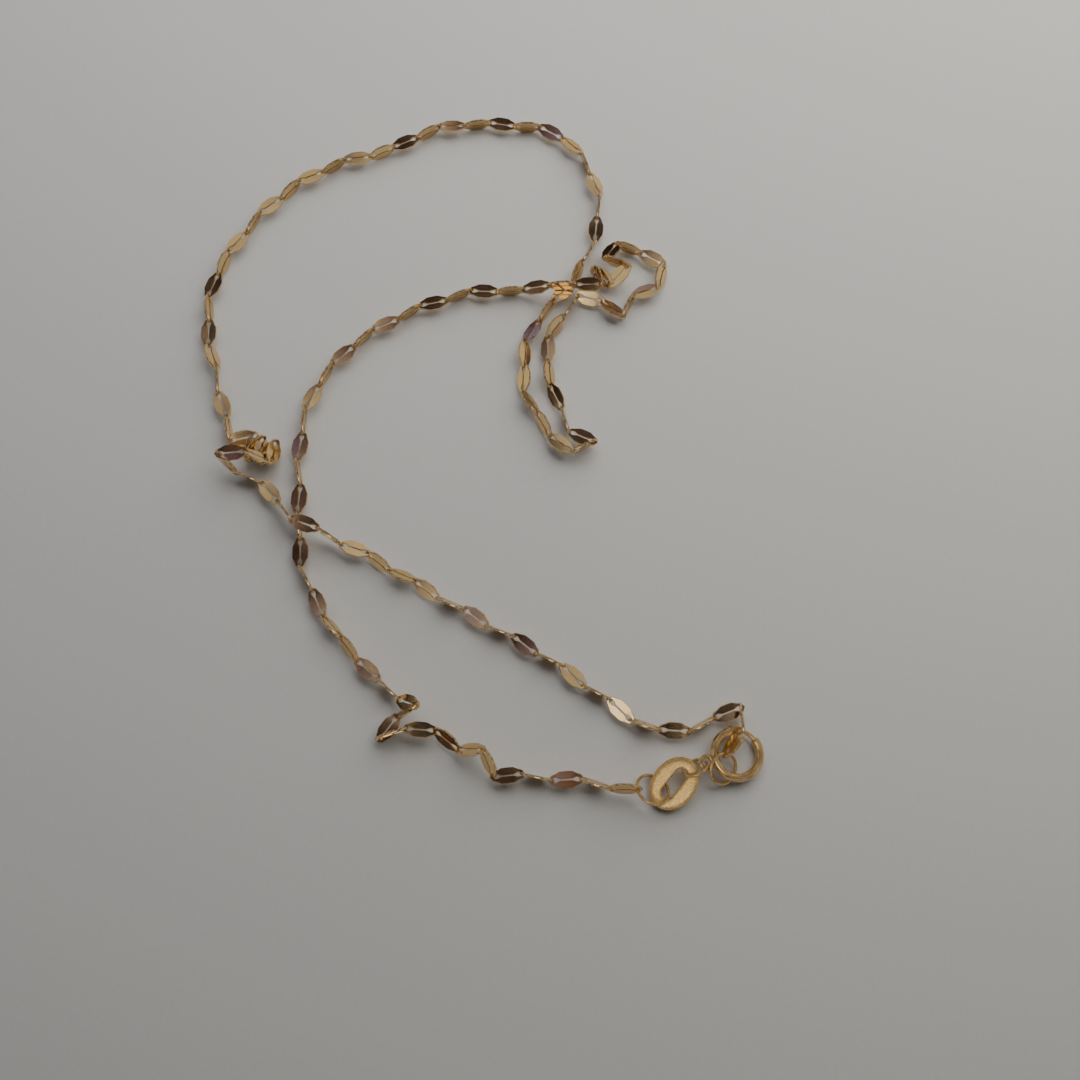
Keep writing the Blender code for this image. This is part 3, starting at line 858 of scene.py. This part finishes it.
def worked_gold(name, light, deep, smooth, rough, grain, depth, cloud):
    """Gold with fine marks, of the grain's size and depth in millimetres, and a slow drift of tone."""
    made = bpy.data.materials.new(name)
    made.use_nodes = True
    tree = made.node_tree
    shader = tree.nodes["Principled BSDF"]
    shader.inputs["Metallic"].default_value = 1.0
    place = add_node(tree, "ShaderNodeTexCoord").outputs["Object"]
    # Real polishing marks are far finer, so these are drawn as coarse as they need to show
    marks = add_node(
        tree, "ShaderNodeTexNoise",
        {"Vector": place, "Scale": 1 / (grain * MM), "Detail": 3.0, "Roughness": 0.6},
    )
    drift = add_node(
        tree, "ShaderNodeTexNoise",
        {"Vector": place, "Scale": 1 / (cloud * MM), "Detail": 2.0, "Roughness": 0.5},
    )
    tone = add_node(
        tree, "ShaderNodeMix", {0: drift.outputs["Fac"], 6: linear(light), 7: linear(deep)},
        data_type="RGBA",
    )
    finish = add_node(
        tree, "ShaderNodeMapRange",
        {"Value": marks.outputs["Fac"], "From Min": 0.3, "From Max": 0.7, "To Min": smooth, "To Max": rough},
    )
    bump = add_node(
        tree, "ShaderNodeBump",
        {"Height": marks.outputs["Fac"], "Strength": 1.0, "Distance": depth * MM},
    )
    tree.links.new(tone.outputs[2], shader.inputs["Base Color"])
    tree.links.new(finish.outputs[0], shader.inputs["Roughness"])
    tree.links.new(bump.outputs[0], shader.inputs["Normal"])
    return made


def drawing_paper():
    """Uncoated white paper: matt, with a faint felt of fibres."""
    made = bpy.data.materials.new("uncoated_white_paper")
    made.use_nodes = True
    tree = made.node_tree
    shader = tree.nodes["Principled BSDF"]
    shader.inputs["Roughness"].default_value = 0.9
    shader.inputs["Specular IOR Level"].default_value = 0.2
    place = add_node(tree, "ShaderNodeTexCoord").outputs["Object"]
    felt = add_node(
        tree, "ShaderNodeTexNoise", {"Vector": place, "Scale": 1 / (PAPER_GRAIN * MM), "Detail": 5.0}
    )
    tone = add_node(
        tree, "ShaderNodeMix", {0: felt.outputs["Fac"], 6: linear("D6D5D3"), 7: linear("DDDCDA")},
        data_type="RGBA",
    )
    bump = add_node(
        tree, "ShaderNodeBump",
        {"Height": felt.outputs["Fac"], "Strength": 0.25, "Distance": PAPER_RELIEF * MM},
    )
    tree.links.new(tone.outputs[2], shader.inputs["Base Color"])
    tree.links.new(bump.outputs[0], shader.inputs["Normal"])
    return made


# Surroundings
def surroundings():
    """Faint even light for the paper, and a room of pale, brown, violet and dark areas for the gold."""
    world = bpy.data.worlds.new("studio")
    bpy.context.scene.world = world
    world.use_nodes = True
    tree = world.node_tree
    tree.nodes.clear()
    place = add_node(tree, "ShaderNodeTexCoord").outputs["Generated"]
    areas = add_node(
        tree, "ShaderNodeTexNoise",
        {"Vector": place, "W": ROOM_SHIFT, "Scale": ROOM_SCALE, "Detail": 1.0, "Roughness": 0.4},
        noise_dimensions="4D",
    )
    height = add_node(tree, "ShaderNodeSeparateXYZ", {0: place}).outputs["Z"]
    lift = add_node(
        tree, "ShaderNodeMapRange",
        {"Value": height, "From Min": ROOM_SIDE, "From Max": 1.0,
         "To Min": SIDE_LIFT, "To Max": OVERHEAD_LIFT},
    )
    lifted = add_node(tree, "ShaderNodeMath", {0: areas.outputs["Fac"], 1: lift.outputs[0]}, operation="ADD")
    ramp = add_node(tree, "ShaderNodeValToRGB", {0: lifted.outputs[0]})
    stops = ramp.color_ramp.elements
    while len(stops) < len(ROOM):
        stops.new(0.5)
    for stop, (at, code) in zip(stops, ROOM):
        stop.position = at
        stop.color = linear(code)
    ray = add_node(tree, "ShaderNodeLightPath").outputs["Is Glossy Ray"]
    room = add_node(tree, "ShaderNodeBackground", {"Color": ramp.outputs[0], "Strength": ROOM_STRENGTH})
    air = add_node(tree, "ShaderNodeBackground", {"Color": linear("E8EBF0"), "Strength": AIR_STRENGTH})
    both = add_node(tree, "ShaderNodeMixShader", {0: ray, 1: air.outputs[0], 2: room.outputs[0]})
    add_node(tree, "ShaderNodeOutputWorld", {0: both.outputs[0]})


def soft_light(name, place, target, size, power, code, on_paper, in_gold):
    """A square light that may shine on the paper only, or be seen in the gold only."""
    lamp = bpy.data.lights.new(name, "AREA")
    lamp.size = size * MM
    lamp.energy = power
    lamp.color = linear(code)[:3]
    made = add_object(name, lamp)
    made.visible_diffuse = on_paper
    made.visible_glossy = in_gold
    made.location = Vector(place) * MM
    made.rotation_euler = (Vector(target) - Vector(place)).to_track_quat("-Z", "Y").to_euler()


def stage_and_camera(paper):
    """The sheet of paper under the necklace, and the camera above it."""
    sheet = bpy.data.meshes.new("paper")
    reach = SHEET_REACH * MM
    corners = [(-reach, -reach, 0), (reach, -reach, 0), (reach, reach, 0), (-reach, reach, 0)]
    sheet.from_pydata(corners, [], [(0, 1, 2, 3)])
    sheet.materials.append(paper)
    floor = add_object("paper", sheet)
    lens = bpy.data.cameras.new("camera")
    lens.sensor_width = SENSOR_WIDTH
    lens.lens = LENS_LENGTH
    lens.clip_start = MM
    lens.clip_end = 10.0
    camera = add_object("camera", lens)
    camera.location = (CAMERA_AT + LAID_AT) * MM
    camera.rotation_euler = (math.radians(90 - VIEW_PITCH), 0, 0)
    bpy.context.scene.camera = camera


def placed(mesh, placing):
    """The mesh in metres, moved to its place in the layout."""
    mesh.transform(PLACED @ placing)
    return mesh


def main():
    """Makes every piece of the necklace, then the light, the paper and the camera."""
    # Leaves are pressed and cut bright: flat mirrors, black, brown or pale by what each one faces
    leaf_gold = worked_gold("mirror_cut_18_carat_gold", "EACF9E", "D8B984", 0.07, 0.15, 0.10, 0.002, 1.5)
    # Wire is drawn and tumbled: round and bright, with a soft streak of light along it
    wire_gold = worked_gold("polished_18_carat_gold_wire", "ECD09A", "D8B574", 0.15, 0.26, 0.12, 0.002, 1.2)
    # The tag is struck and left satin: an even glow broken by fine pits
    satin_gold = worked_gold("satin_struck_18_carat_gold", "F8D898", "E4BC6E", 0.22, 0.38, 0.15, 0.028, 0.9)

    links = lay_links()
    link = add_object("leaf_link", leaf_link())
    tree = linking_tree()
    spans = (("chain_inner", 0, SPLIT_AT), ("chain_outer", SPLIT_AT, len(links)))
    for node, first, last in spans:
        mesh = chain_mesh(node + "_links", links, first, last, tree, link, leaf_gold)
        keep(node + "_links", mesh, leaf_gold, "necklace", node)
    bpy.data.objects.remove(link)

    at_clasp = clasp_side_placing()
    slack = links[-1][1] - hook(at_clasp, CLASP_SIDE_R, CLASP_SIDE_HOOK, CLASP_SIDE_ASIDE)
    at_clasp = Matrix.Translation(slack) @ at_clasp
    rings = (
        ("jump_ring_tag_side", tag_side_placing(), TAG_SIDE_R, TAG_SIDE_CUT),
        ("jump_ring_clasp_side", at_clasp, CLASP_SIDE_R, CLASP_SIDE_CUT),
        ("jump_ring_middle", *middle_placing(), MIDDLE_CUT),
    )
    for node, placing, radius, cut in rings:
        half = math.degrees(SEAM / radius) / 2
        ring = bent_wire(node, radius, RING_WIRE_R, cut + half, cut + 360 - half, JUMP_RING_STEPS)
        keep(node + "_wire", placed(ring, placing), wire_gold, "necklace", node)

    keep("oval_tag", placed(oval_tag(), tag_placing()), satin_gold, "necklace", "tag")
    clasp = placed(spring_ring(), clasp_placing())
    keep("clasp_ring", clasp, wire_gold, "necklace", "spring_ring")
    pin = placed(bolt(), clasp_placing())
    keep("clasp_bolt", pin, wire_gold, "bolt", "spring_ring_bolt")

    surroundings()
    soft_light("window", WINDOW_AT, WINDOW_AIM, WINDOW_SIZE, WINDOW_POWER, "FFFBF4", True, False)
    soft_light("pane", WINDOW_AT, WINDOW_AIM, PANE_SIZE, PANE_POWER, "FFF6E6", False, True)
    soft_light("bounce", BOUNCE_AT, BOUNCE_AIM, BOUNCE_SIZE, BOUNCE_POWER, "EEF2FF", True, False)
    soft_light("card", CARD_AT, CARD_AIM, CARD_SIZE, CARD_POWER, "FFF6E6", False, True)
    stage_and_camera(drawing_paper())


main()
